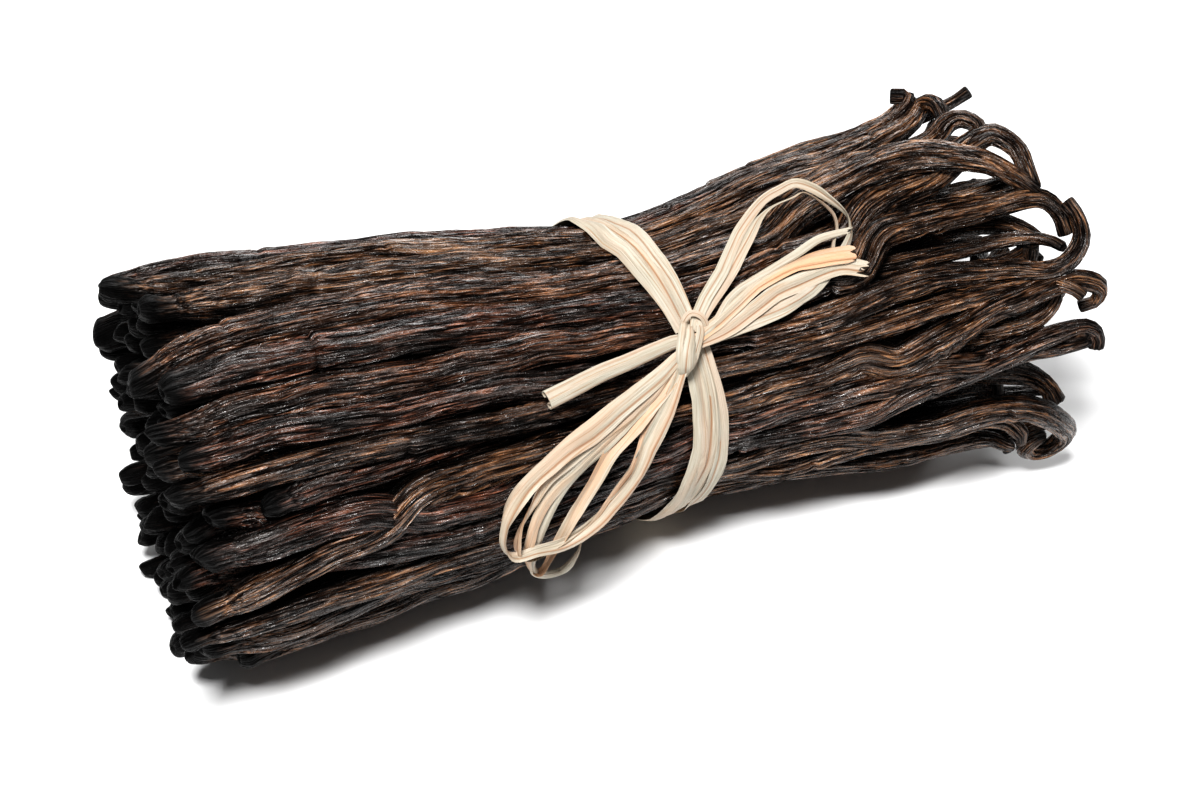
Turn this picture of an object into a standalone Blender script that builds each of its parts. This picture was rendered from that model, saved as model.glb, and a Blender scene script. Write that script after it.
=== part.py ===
"""Bundle of cured vanilla pods, tied round its waist with a raffia bow.

The pods lie along X: blunt tips at -X, thin curled stalks at +X. The bundle rests on the ground
plane Z = 0, and the bow is on the -Y side, half way up. Lengths below are in millimetres.

Places on the bundle are given as (x, angle, lift): the angle goes round the axis from -Y (0 degrees)
over the top (90 degrees), and the lift is the height above the bundle's own outline.
"""

import math

import bmesh
import bpy
import numpy as np

MM = 0.001
SEED = 7

# The bundle's outline: an hourglass, narrow where the raffia pulls it in.
SHIFT = np.array([8.6, -0.2, 0.0])  # from the waist to the middle of the whole, which is the origin
TIP_X = -98.0
STALK_X = 70.0
TIP_RADIUS = 38.2
WAIST_RADIUS = 28.0
STALK_RADIUS = 34.5
TIP_HEIGHT = 34.6
WAIST_HEIGHT = 31.0
STALK_HEIGHT = 33.5
TIP_SWELL = (65.0, 1.3, 95.0)  # how soon the outline widens, how sharply, and where it is full
STALK_SWELL = (35.0, 1.6, 60.0)

# The pods, ring by ring from the outside in.
RINGS = (30, 23, 16, 10, 4)
RING_PITCH = 1.75  # in pod radii
POD_RADIUS = 3.4
POD_SPREAD = 0.46
POD_LIMIT = 0.9
POD_DRIFT = 13.0  # degrees that a pod moves round the bundle between its ends
POD_WANDER = 1.7
TIP_SCATTER = (0.9, 1.6)
TIP_LEAN = 2.6  # the lowest tips reach this much further than those half way up
SET_BACK = (0.15, 4.0, 13.0)  # the share of pods that start further in, and how far
WAIST_SQUEEZE = 0.19
WAIST_REACH = 24.0
STALK_TAPER = 42.0
STALK_THINNEST = 0.44
STALK_NARROWING = 0.12
STALK_LENGTH = (12.0, 20.0)
STALK_CURL = (20.0, 140.0)
STALK_REACH = 1.5  # how far a loose stalk may stand out from the outline
BLUNT_LENGTH = 3.0
TIP_NARROWEST = 0.74
TIP_TAPER = 16.0
STATION_STEP = 5.0
SETTLE_ROUNDS = 160
SETTLE_PUSH = 0.22
STIFFNESS = 0.2

# The solid made from them.
CORE_DEPTH = 5.5
CORE_SHORT = (6.0, 22.0)  # how far inside the tips and the stalks the core ends
VOXEL = 1.25
PODS_FACES = 7000
SMOOTHING = 0.35

# The raffia.
BAND_WIDTH = 8.5
STRAND_WIDTH = 4.2
STRAND_THICKNESS = 1.5
KNOT_SIZE = (6.5, 4.0)
BAND_CLEARANCE = 0.45
BAND_FRONT = 28.0  # the angle where the bow pulls the band furthest towards the stalks
BAND_SLIP = 8.0
BAND_SLIP_REACH = 70.0
PINCHED = (-50.0, 40.0)  # along X, where the pods are held inside the outline
RAFFIA_VOXEL = 0.62
RAFFIA_FACES = 2600

# Stalks that stand out at the curled end: the middle line of each, as places on the bundle.
ARCHED_STALK = (
    (28, 86, -3.5), (37, 87, -2), (45, 86, 0), (54, 83, 1), (62, 76, 1), (67, 69, -0.5), (71, 62, -2),
)
KNOBBED_STALK = ((34, 122, -3.5), (46, 119, -3.3), (54, 118, -2), (59, 117, 0), (61, 119, 2), (58, 121, 3))
LOOPED_STALK = ((40, 106, -3.5), (52, 108, -3), (59, 112, -2), (63, 116, 0), (64, 109, 0.5), (63, 101, -1))
THIN_ARCH = (
    (40, 97, -3.5), (52, 95, -3), (58, 95, -2), (62, 97, 0), (65, 96, 0.5), (67, 91, -0.5), (66, 87, -2),
)
FOLDED_STALK = (
    (40, 76, -3.5), (54, 80, -3.5), (63, 86, -2), (68, 86, -0.5), (71, 78, -0.5), (71, 70, -1),
    (71, 64, -2),
)
BENT_STALK = ((40, 64, -3.5), (54, 64, -3.3), (64, 62, -3), (71, 60, -2.5), (74, 54, -3), (75, 45, -4))
UPRIGHT_HOOK = (
    (40, 43, -3.5), (52, 42, -3), (61, 40, -2), (68, 37, -1), (72, 38, 0), (75, 43, 0.5), (75, 50, 1),
    (74, 55, 1),
)
GOLDEN_HOOK = (
    (38, 18, -3.5), (48, 23, -3), (58, 29, -2), (66, 32, -1), (73, 31, -0.5), (78, 27, -1),
    (78, 21, -3), (75, 19, -4),
)
BLUNT_HOOK = (
    (40, 4, -3.5), (50, 5, -3.3), (60, 9, -3), (68, 14, -2), (74, 16, -1), (77, 12, -1), (77, 7, -1),
)
BROAD_CURL = (
    (34, -18, -3.5), (46, -18, -3.2), (53, -14, -2.6), (60, -13, -1.5), (67, -16, 0), (73, -26, 1),
    (77, -37, 2.6), (75, -44, 4), (71, -45, 3.4), (69, -40, 2), (71, -37, 1.2), (73, -39, 1.2),
)
LOW_STALK = ((34, -41, -3.5), (48, -42, -2.6), (60, -44, -1.6), (68, -43, -0.6), (75, -41, -1))
BACK_STALKS = (
    ((40, 140, -3.5), (54, 145, -2), (62, 149, 0), (67, 147, 2), (68, 140, 2)),
    ((40, 170, -3.5), (56, 171, -2), (66, 175, 0), (71, 184, 1), (68, 191, 1)),
    ((40, 205, -3.5), (58, 204, -2), (68, 201, 0), (74, 193, 1), (72, 185, 2)),
    ((40, 236, -3.5), (56, 238, -3), (68, 236, -3), (75, 229, -3)),
)
CURLED_STALKS = (
    ARCHED_STALK, KNOBBED_STALK, LOOPED_STALK, THIN_ARCH, FOLDED_STALK, BENT_STALK, UPRIGHT_HOOK,
    GOLDEN_HOOK, BLUNT_HOOK, BROAD_CURL, LOW_STALK, *BACK_STALKS,
)

# Short pods that lie proud of the others: where the tip is, its angle, and how proud it lies.
SHORT_PODS = ((-83.0, 24.0, 2.6), (-12.0, -43.0, 1.6), (-66.0, 196.0, 2.4))

# The bow: each strand's middle line, as places on the bundle.
UPPER_LOOP = (
    (-1, 45, 3.4), (1, 53, 3.4), (6, 62, 3), (14, 74, 3), (21, 83, 3.4), (27, 84, 4), (31, 76, 4),
    (32, 66, 3.4), (30, 58, 3), (23, 50, 2.6), (12, 46, 2.8), (1, 44, 3.8),
)
LOWER_LOOP = (
    (-1, 43, 3.8), (-8, 36, 3), (-20, 27, 2.4), (-31, 19, 2.2), (-38, 8, 2.2), (-41, -4, 2.6),
    (-40, -15, 3), (-34, -27, 3.8), (-28, -25, 4.2), (-24, -10, 3.2), (-20, 2, 2.6), (-14, 17, 2.4),
    (-8, 29, 2.8), (-2, 40, 3.4),
)
RIGHT_TAIL = ((-1, 43, 3.8), (4, 48, 3.6), (13, 54, 3.6), (21, 56, 3.6), (32, 53, 4.2))
LEFT_TAIL = ((-2, 43, 3.4), (-8, 46, 3.2), (-15, 45, 3), (-22, 42, 2.8), (-31, 37, 2.6))
KNOT_WRAP = ((-2, 50, 3.0), (-1.4, 46, 5.2), (-1, 41, 5.2), (-1, 36, 2.6))


def widening(away, reach, curve, full):
    """From 0 at the waist to 1 where the outline is full."""
    return (1 - np.exp(-((away / reach) ** curve))) / (1 - math.exp(-((full / reach) ** curve)))


def swell(x, left, middle, right):
    """A value that is `middle` at the waist and grows towards both ends."""
    x = np.asarray(x, dtype=float)
    tip = (left - middle) * widening(np.abs(x), *TIP_SWELL)
    stalk = (right - middle) * widening(np.abs(x), *STALK_SWELL)
    return middle + np.where(x < 0, tip, stalk)


def outline_radius(x):
    return swell(x, TIP_RADIUS, WAIST_RADIUS, STALK_RADIUS)


def outline_height(x):
    return swell(x, TIP_HEIGHT, WAIST_HEIGHT, STALK_HEIGHT)


def on_bundle(x, angle, lift):
    """The point at a place on the bundle, in millimetres before the shift."""
    turn = np.radians(angle)
    radius = outline_radius(x) + lift
    return np.stack([x, -radius * np.cos(turn), outline_height(x) + radius * np.sin(turn)], axis=-1)


def outward(angle):
    turn = math.radians(angle)
    return np.array([0.0, -math.cos(turn), math.sin(turn)])


def spline(points, step):
    """Points every `step` along a smooth curve through the given ones."""
    p = np.vstack([2 * points[0] - points[1], points, 2 * points[-1] - points[-2]])
    fine = []
    for a, b, c, d in zip(p, p[1:], p[2:], p[3:]):
        for t in np.linspace(0, 1, 12, endpoint=False):
            fine.append(
                0.5 * (2 * b + (c - a) * t + (2 * a - 5 * b + 4 * c - d) * t**2
                       + (3 * b - a - 3 * c + d) * t**3)
            )
    fine.append(points[-1])
    fine = np.array(fine)
    run = np.concatenate([[0], np.cumsum(np.linalg.norm(np.diff(fine, axis=0), axis=1))])
    marks = np.linspace(0, run[-1], max(4, int(run[-1] / step) + 1))
    return np.stack([np.interp(marks, run, fine[:, k]) for k in range(fine.shape[1])], axis=-1)


def pod_slots(rng):
    """Each pod's ring, the angle it starts at, where a short one's tip is, and how proud it lies."""
    slots = []
    for ring, count in enumerate(RINGS):
        start = rng.uniform(0, 360)
        slots += [(ring, start + 360 * k / count, None, 0.0) for k in range(count)]
    return slots + [(0, angle, tip, proud) for tip, angle, proud in SHORT_PODS]


def loose_pod(rng, slot, stations):
    """One pod before the bundle is packed: its middle across the bundle, its radius and its limit."""
    ring, angle, tip, proud = slot
    share = (stations - TIP_X) / (STALK_X - TIP_X)
    squeeze = 1 - WAIST_SQUEEZE * np.exp(-((stations / WAIST_REACH) ** 2))
    narrowing = 1 - STALK_NARROWING * np.clip((stations - 30) / 40, 0, 1)
    size = POD_RADIUS + np.clip(rng.normal(0, POD_SPREAD), -POD_LIMIT, POD_LIMIT)
    drift = 0 if proud else rng.normal(0, POD_DRIFT)
    wander = sum(
        rng.normal(0, POD_WANDER / math.sqrt(n), (1, 2))
        * np.sin(math.pi * n * share[:, None] + rng.uniform(0, 6))
        for n in (1, 2, 3, 4)
    )
    turn = np.radians(angle + drift * (share - 0.5) + rng.normal(0, 2.0))
    depth = POD_RADIUS * (1 + RING_PITCH * ring) * squeeze
    reach = np.maximum(outline_radius(stations) - depth, 1.0)
    centre = np.stack([-reach * np.cos(turn), reach * np.sin(turn)], axis=-1)
    radius = size * squeeze * narrowing
    if proud:
        radius = radius * np.where(stations < tip - 4, 0.05, 1.0)
    else:
        centre = centre + wander
    standing_out = proud * np.clip(np.abs(stations) / 45, 0, 1) ** 2
    return centre, radius, outline_radius(stations) + standing_out - radius


def pod_layout(rng):
    """Where each pod's middle runs across the bundle, settled until no two press into each other."""
    stations = np.arange(TIP_X - 5, STALK_X + 5.1, STATION_STEP)
    slots = pod_slots(rng)
    centres, radii, limits = map(np.array, zip(*(loose_pod(rng, slot, stations) for slot in slots)))
    height = outline_height(stations)
    pair_reach = radii[:, None] + radii[None]
    for _ in range(SETTLE_ROUNDS):
        gap = centres[:, None] - centres[None]
        dist = np.linalg.norm(gap, axis=-1) + 1e-6
        push = np.clip(pair_reach - dist, 0, None) / dist
        centres = centres + SETTLE_PUSH * (gap * push[..., None]).sum(axis=1)
        bend = centres[:, :-2] + centres[:, 2:] - 2 * centres[:, 1:-1]
        centres[:, 1:-1] += STIFFNESS * bend
        far = np.linalg.norm(centres, axis=-1)
        centres *= np.minimum(1, limits / np.maximum(far, 1e-6))[..., None]
        centres[..., 1] = np.maximum(centres[..., 1], radii - height)
    return stations, centres, radii, slots


def placed_stalks(stations, centres, slots):
    """Which pod of the outer ring each of the curled stalks belongs to: the nearest one still free."""
    angles = np.degrees(np.arctan2(centres[..., 1], -centres[..., 0]))
    taken = {}
    for stalk in CURLED_STALKS:
        first_x, first_angle, _ = stalk[0]
        off = np.abs((angles[:, np.searchsorted(stations, first_x)] - first_angle + 180) % 360 - 180)
        off[[k for k, slot in enumerate(slots) if slot[0] > 0 or slot[3] > 0 or k in taken]] = 999
        taken[int(np.argmin(off))] = stalk
    return taken


def random_stalk(rng, start, heading, ring):
    """The thin end of a pod, curling away from where its straight run stops."""
    side = rng.normal(0, 1, 3)
    if ring == 0:
        side += 1.2 * np.array([0, start[1], start[2] - STALK_HEIGHT]) / STALK_RADIUS
    side -= side.dot(heading) * heading
    side /= np.linalg.norm(side)
    curl = math.radians(rng.uniform(*STALK_CURL))
    length = rng.uniform(*STALK_LENGTH)
    steps = 6
    points = []
    point = start.copy()
    for k in range(steps):
        turn = curl * ((k + 0.5) / steps) ** 1.6
        point = point + length / steps * (math.cos(turn) * heading + math.sin(turn) * side)
        axis = np.array([point[0], 0.0, outline_height(point[0])])
        reach = outline_radius(point[0]) + STALK_REACH
        away = np.linalg.norm(point - axis)
        points.append(axis + (point - axis) * min(1.0, reach / away))
    return points


def loose_tip(rng, height):
    """Where along X a pod's tip is, from its height above the axis. A few tips are set back."""
    share, least, most = SET_BACK
    back = rng.uniform(least, most) if rng.uniform() < share else 0.0
    return TIP_X + rng.normal(*TIP_SCATTER) + TIP_LEAN * height / TIP_RADIUS + back


def pod_runs():
    """Every pod: its ring, its placed stalk if it has one, its middle's points and its radii."""
    rng = np.random.default_rng(SEED)
    stations, centres, radii, slots = pod_layout(rng)
    height = outline_height(stations)
    taken = placed_stalks(stations, centres, slots)
    runs = []
    for k, (ring, _, short_tip, proud) in enumerate(slots):
        stalk = taken.get(k)
        tip = short_tip if proud else loose_tip(rng, centres[k, 0, 1])
        straight_to = stalk[0][0] - 7 if stalk else STALK_X - 13 + rng.normal(0, 3.5)
        xs = np.append(np.arange(tip, straight_to - 3, STATION_STEP), straight_to)
        y = np.interp(xs, stations, centres[k, :, 0])
        z = np.interp(xs, stations, centres[k, :, 1] + height)
        points = list(np.stack([xs, y, z], axis=-1))
        if stalk:
            points += [on_bundle(*place) for place in stalk]
        else:
            heading = points[-1] - points[-2]
            points += random_stalk(rng, points[-1], heading / np.linalg.norm(heading), ring)
        runs.append((ring, stalk, np.array(points), (stations, radii[k])))
    return runs


def pod_path(points, sizes):
    """A pod's middle line and its radius along it: blunt at the tip, tapering to a thin stalk."""
    line = spline(points, STATION_STEP * 0.5)
    run = np.concatenate([[0], np.cumsum(np.linalg.norm(np.diff(line, axis=0), axis=1))])
    left = run[-1] - run
    thin = STALK_THINNEST + (1 - STALK_THINNEST) * np.clip(left / STALK_TAPER, 0, 1) ** 0.8
    nose = TIP_NARROWEST + (1 - TIP_NARROWEST) * np.clip(run / TIP_TAPER, 0, 1) ** 0.8
    rounding = 1 - np.clip(1 - run / BLUNT_LENGTH, 0, 1) ** 2
    return line, np.interp(line[:, 0], *sizes) * thin * nose * np.sqrt(np.maximum(rounding, 0.12))


def frames(line):
    """Two sideways directions at each point of a line, carried along without twisting."""
    ahead = np.gradient(line, axis=0)
    ahead /= np.linalg.norm(ahead, axis=1)[:, None]
    first = np.cross(ahead[0], [0.0, 0.3, 1.0])
    sides = [first / np.linalg.norm(first)]
    for direction in ahead[1:]:
        side = sides[-1] - sides[-1].dot(direction) * direction
        sides.append(side / np.linalg.norm(side))
    sides = np.array(sides)
    return sides, np.cross(ahead, sides)


def add_tube(bm, line, across, along, sides=8):
    """A closed tube: `across` and `along` are its two half-axis vectors at each point."""
    turns = np.linspace(0, 2 * math.pi, sides, endpoint=False)
    rings = []
    for point, a, b in zip(line, across, along):
        ring = [
            bm.verts.new((point + a * math.cos(t) + b * math.sin(t) + SHIFT) * MM) for t in turns
        ]
        rings.append(ring)
    for low, high in zip(rings, rings[1:]):
        for k in range(sides):
            n = (k + 1) % sides
            bm.faces.new((low[k], high[k], high[n], low[n]))
    bm.faces.new(rings[0])
    bm.faces.new(rings[-1][::-1])


def add_ribbon(bm, places, width, thickness, step=1.6):
    """A flat strand laid on the bundle through the given places."""
    smooth = spline(np.array(places, dtype=float), step)
    line = on_bundle(smooth[:, 0], smooth[:, 1], smooth[:, 2])
    ahead = np.gradient(line, axis=0)
    ahead /= np.linalg.norm(ahead, axis=1)[:, None]
    up = np.array([outward(angle) for angle in smooth[:, 1]])
    up -= (up * ahead).sum(axis=1)[:, None] * ahead
    up /= np.linalg.norm(up, axis=1)[:, None]
    add_tube(bm, line, np.cross(up, ahead) * width / 2, up * thickness / 2)


def largest_body(bm):
    """Keeps the body that is longest along X, so that pockets sealed inside it go."""
    bm.verts.index_update()
    seen = set()
    bodies = []
    for start in bm.verts:
        if start.index in seen:
            continue
        body = []
        todo = [start]
        seen.add(start.index)
        while todo:
            vert = todo.pop()
            body.append(vert)
            for edge in vert.link_edges:
                other = edge.other_vert(vert)
                if other.index not in seen:
                    seen.add(other.index)
                    todo.append(other)
        bodies.append(body)
    bodies.sort(key=lambda body: max(v.co.x for v in body) - min(v.co.x for v in body))
    for body in bodies[:-1]:
        bmesh.ops.delete(bm, geom=body, context="VERTS")


def solid_from(name, bm, voxel, faces, collection):
    """One closed solid of the outer shape of all the tubes in bm."""
    mesh = bpy.data.meshes.new(name)
    bm.to_mesh(mesh)
    bm.free()
    obj = bpy.data.objects.new(name, mesh)
    collection.objects.link(obj)
    remesh = obj.modifiers.new("join", "REMESH")
    remesh.mode = "VOXEL"
    remesh.voxel_size = voxel * MM
    apply_modifiers(obj)
    bm = bmesh.new()
    bm.from_mesh(obj.data)
    largest_body(bm)
    bmesh.ops.smooth_vert(
        bm, verts=bm.verts, factor=SMOOTHING, use_axis_x=True, use_axis_y=True, use_axis_z=True
    )
    bmesh.ops.triangulate(bm, faces=bm.faces)
    bm.to_mesh(obj.data)
    bm.free()
    decimate = obj.modifiers.new("thin out", "DECIMATE")
    decimate.ratio = faces / len(obj.data.polygons)
    apply_modifiers(obj)
    return obj


def apply_modifiers(obj):
    evaluated = obj.evaluated_get(bpy.context.evaluated_depsgraph_get())
    mesh = bpy.data.meshes.new_from_object(evaluated)
    obj.modifiers.clear()
    old = obj.data
    obj.data = mesh
    bpy.data.meshes.remove(old)
    mesh.name = obj.name


def flatten_underside(obj):
    """Cuts the solid off at the ground, so that it rests on flat spots."""
    bm = bmesh.new()
    bm.from_mesh(obj.data)
    geom = bm.verts[:] + bm.edges[:] + bm.faces[:]
    cut = bmesh.ops.bisect_plane(bm, geom=geom, plane_co=(0, 0, 0), plane_no=(0, 0, -1), clear_outer=True)
    rim = [edge for edge in cut["geom_cut"] if isinstance(edge, bmesh.types.BMEdge)]
    bmesh.ops.holes_fill(bm, edges=rim)
    bmesh.ops.triangulate(bm, faces=bm.faces)
    bm.to_mesh(obj.data)
    bm.free()


def pinch_under_band(obj):
    """Holds the pods inside the outline where the raffia lies on them."""
    for vert in obj.data.vertices:
        point = np.array(vert.co) / MM - SHIFT
        if not PINCHED[0] < point[0] < PINCHED[1]:
            continue
        axis_z = float(outline_height(point[0]))
        reach = float(outline_radius(point[0])) - 0.1
        away = math.hypot(point[1], point[2] - axis_z)
        if away > reach:
            vert.co.y *= reach / away
            vert.co.z = (axis_z + (point[2] - axis_z) * reach / away) * MM


def build_pods(collection):
    bm = bmesh.new()
    for _, _, points, sizes in pod_runs():
        line, size = pod_path(points, sizes)
        across, along = frames(line)
        add_tube(bm, line, across * size[:, None], along * size[:, None])
    xs = np.arange(TIP_X + CORE_SHORT[0], STALK_X - CORE_SHORT[1], STATION_STEP)
    core = np.stack([xs, 0 * xs, outline_height(xs)], axis=-1)
    reach = (outline_radius(xs) - CORE_DEPTH)[:, None]
    add_tube(bm, core, reach * np.array([0, 1.0, 0]), reach * np.array([0, 0, 1.0]), sides=24)
    obj = solid_from("pods", bm, VOXEL, PODS_FACES, collection)
    pinch_under_band(obj)
    flatten_underside(obj)
    return obj


def build_tie(collection):
    bm = bmesh.new()
    angles = BAND_FRONT + np.linspace(-180, 180, 73)
    waist = BAND_SLIP * (np.exp(-(((angles - BAND_FRONT) / BAND_SLIP_REACH) ** 2)) - 1)
    lift = np.full(len(angles), BAND_CLEARANCE + STRAND_THICKNESS / 2)
    add_ribbon(bm, list(zip(waist, angles, lift)), BAND_WIDTH, STRAND_THICKNESS)
    for places in (UPPER_LOOP, LOWER_LOOP, RIGHT_TAIL, LEFT_TAIL):
        add_ribbon(bm, places, STRAND_WIDTH, STRAND_THICKNESS)
    add_ribbon(bm, KNOT_WRAP, *KNOT_SIZE)
    return solid_from("raffia_tie", bm, RAFFIA_VOXEL, RAFFIA_FACES, collection)


def plain_material(name, colour, roughness):
    material = bpy.data.materials.new(name)
    material.use_nodes = True
    shader = material.node_tree.nodes["Principled BSDF"]
    shader.inputs["Base Color"].default_value = (*colour, 1.0)
    shader.inputs["Roughness"].default_value = roughness
    shader.inputs["Metallic"].default_value = 0.0
    return material


def main():
    for obj in list(bpy.data.objects):
        bpy.data.objects.remove(obj, do_unlink=True)
    collection = bpy.data.collections.new("vanilla_bundle")
    bpy.context.scene.collection.children.link(collection)
    pods = build_pods(collection)
    tie = build_tie(collection)
    pods.data.materials.clear()
    tie.data.materials.clear()
    pods.data.materials.append(plain_material("cured_pod", (0.035, 0.018, 0.011), 0.5))
    tie.data.materials.append(plain_material("raffia", (0.78, 0.66, 0.45), 0.6))


main()
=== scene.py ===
"""Bundle of cured vanilla pods tied with a raffia bow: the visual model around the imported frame.

Lengths are in millimetres until a mesh is made. A place on the bundle is (x, angle, lift): x runs
from the blunt tips to the curled stalks with 0 at the waist, the angle goes round the axis from -Y
(0 degrees) over the top (90 degrees), and the lift is the height above the bundle's own outline.
"""

import math

import bpy
import numpy as np
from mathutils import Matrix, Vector


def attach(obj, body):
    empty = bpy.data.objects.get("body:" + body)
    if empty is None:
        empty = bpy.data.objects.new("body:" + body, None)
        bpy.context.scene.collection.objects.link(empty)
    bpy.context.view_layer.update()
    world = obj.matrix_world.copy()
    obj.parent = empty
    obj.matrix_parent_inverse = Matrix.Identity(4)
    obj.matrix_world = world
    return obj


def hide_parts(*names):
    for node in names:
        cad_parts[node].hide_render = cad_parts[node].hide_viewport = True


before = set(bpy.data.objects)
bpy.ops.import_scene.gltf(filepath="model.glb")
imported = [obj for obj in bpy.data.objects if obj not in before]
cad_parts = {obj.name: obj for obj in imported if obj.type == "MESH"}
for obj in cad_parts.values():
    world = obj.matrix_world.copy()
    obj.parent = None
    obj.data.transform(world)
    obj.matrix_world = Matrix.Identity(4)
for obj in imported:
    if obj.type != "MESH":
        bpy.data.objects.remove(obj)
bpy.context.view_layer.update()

MM = 0.001
SEED = 7

# ---------------------------------------------------------------- the bundle, as in the CAD model
# The bundle's outline: an hourglass, narrow where the raffia pulls it in.
SHIFT = np.array([8.6, -0.2, 0.0])  # from the waist to the middle of the whole, which is the origin
TIP_X = -98.0
STALK_X = 70.0
TIP_RADIUS = 38.2
WAIST_RADIUS = 28.0
STALK_RADIUS = 34.5
TIP_HEIGHT = 34.6
WAIST_HEIGHT = 31.0
STALK_HEIGHT = 33.5
TIP_SWELL = (65.0, 1.3, 95.0)  # how soon the outline widens, how sharply, and where it is full
STALK_SWELL = (35.0, 1.6, 60.0)

# The pods, ring by ring from the outside in.
RINGS = (30, 23, 16, 10, 4)
RING_PITCH = 1.75  # in pod radii
POD_RADIUS = 3.4
POD_SPREAD = 0.46
POD_LIMIT = 0.9
POD_DRIFT = 13.0  # degrees that a pod moves round the bundle between its ends
POD_WANDER = 1.7
TIP_SCATTER = (0.9, 1.6)
TIP_LEAN = 2.6  # the lowest tips reach this much further than those half way up
SET_BACK = (0.15, 4.0, 13.0)  # the share of pods that start further in, and how far
WAIST_SQUEEZE = 0.19
WAIST_REACH = 24.0
STALK_TAPER = 42.0
STALK_THINNEST = 0.44
STALK_NARROWING = 0.12
STALK_LENGTH = (12.0, 20.0)
STALK_CURL = (20.0, 140.0)
STALK_REACH = 1.5  # how far a loose stalk may stand out from the outline
STATION_STEP = 5.0
SETTLE_ROUNDS = 160
SETTLE_PUSH = 0.22
STIFFNESS = 0.2

BAND_FRONT = 28.0
BAND_SLIP = 8.0
BAND_SLIP_REACH = 70.0

# Stalks that stand out at the curled end: the middle line of each, as places on the bundle.
ARCHED_STALK = (
    (28, 86, -3.5), (37, 87, -2), (45, 86, 0), (54, 83, 1), (62, 76, 1), (67, 69, -0.5), (71, 62, -2),
)
KNOBBED_STALK = ((34, 122, -3.5), (46, 119, -3.3), (54, 118, -2), (59, 117, 0), (61, 119, 2), (58, 121, 3))
LOOPED_STALK = ((40, 106, -3.5), (52, 108, -3), (59, 112, -2), (63, 116, 0), (64, 109, 0.5), (63, 101, -1))
THIN_ARCH = (
    (40, 97, -3.5), (52, 95, -3), (58, 95, -2), (62, 97, 0), (65, 96, 0.5), (67, 91, -0.5), (66, 87, -2),
)
FOLDED_STALK = (
    (40, 76, -3.5), (54, 80, -3.5), (63, 86, -2), (68, 86, -0.5), (71, 78, -0.5), (71, 70, -1),
    (71, 64, -2),
)
BENT_STALK = ((40, 64, -3.5), (54, 64, -3.3), (64, 62, -3), (71, 60, -2.5), (74, 54, -3), (75, 45, -4))
UPRIGHT_HOOK = (
    (40, 43, -3.5), (52, 42, -3), (61, 40, -2), (68, 37, -1), (72, 38, 0), (75, 43, 0.5), (75, 50, 1),
    (74, 55, 1),
)
GOLDEN_HOOK = (
    (38, 18, -3.5), (48, 23, -3), (58, 29, -2), (66, 32, -1), (73, 31, -0.5), (78, 27, -1),
    (78, 21, -3), (75, 19, -4),
)
BLUNT_HOOK = (
    (40, 4, -3.5), (50, 5, -3.3), (60, 9, -3), (68, 14, -2), (74, 16, -1), (77, 12, -1), (77, 7, -1),
)
BROAD_CURL = (
    (34, -18, -3.5), (46, -18, -3.2), (53, -14, -2.6), (60, -13, -1.5), (67, -16, 0), (73, -26, 1),
    (77, -37, 2.6), (75, -44, 4), (71, -45, 3.4), (69, -40, 2), (71, -37, 1.2), (73, -39, 1.2),
)
LOW_STALK = ((34, -41, -3.5), (48, -42, -2.6), (60, -44, -1.6), (68, -43, -0.6), (75, -41, -1))
BACK_STALKS = (
    ((40, 140, -3.5), (54, 145, -2), (62, 149, 0), (67, 147, 2), (68, 140, 2)),
    ((40, 170, -3.5), (56, 171, -2), (66, 175, 0), (71, 184, 1), (68, 191, 1)),
    ((40, 205, -3.5), (58, 204, -2), (68, 201, 0), (74, 193, 1), (72, 185, 2)),
    ((40, 236, -3.5), (56, 238, -3), (68, 236, -3), (75, 229, -3)),
)
CURLED_STALKS = (
    ARCHED_STALK, KNOBBED_STALK, LOOPED_STALK, THIN_ARCH, FOLDED_STALK, BENT_STALK, UPRIGHT_HOOK,
    GOLDEN_HOOK, BLUNT_HOOK, BROAD_CURL, LOW_STALK, *BACK_STALKS,
)

# Short pods that lie proud of the others: where the tip is, its angle, and how proud it lies.
SHORT_PODS = ((-83.0, 24.0, 2.6), (-12.0, -43.0, 1.6), (-66.0, 196.0, 2.4))


def widening(away, reach, curve, full):
    """From 0 at the waist to 1 where the outline is full."""
    return (1 - np.exp(-((away / reach) ** curve))) / (1 - math.exp(-((full / reach) ** curve)))


def swell(x, left, middle, right):
    """A value that is `middle` at the waist and grows towards both ends."""
    x = np.asarray(x, dtype=float)
    tip = (left - middle) * widening(np.abs(x), *TIP_SWELL)
    stalk = (right - middle) * widening(np.abs(x), *STALK_SWELL)
    return middle + np.where(x < 0, tip, stalk)


def outline_radius(x):
    return swell(x, TIP_RADIUS, WAIST_RADIUS, STALK_RADIUS)


def outline_height(x):
    return swell(x, TIP_HEIGHT, WAIST_HEIGHT, STALK_HEIGHT)


def on_bundle(x, angle, lift):
    """The point at a place on the bundle, in millimetres before the shift."""
    turn = np.radians(angle)
    radius = outline_radius(x) + lift
    return np.stack([x, -radius * np.cos(turn), outline_height(x) + radius * np.sin(turn)], axis=-1)


def run_along(line):
    """The distance from the first point to each point of a line."""
    return np.concatenate([[0], np.cumsum(np.linalg.norm(np.diff(line, axis=0), axis=1))])


def headings(line):
    """The direction of a line at each of its points."""
    ahead = np.gradient(line, axis=0)
    return ahead / np.linalg.norm(ahead, axis=1)[:, None]


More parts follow.
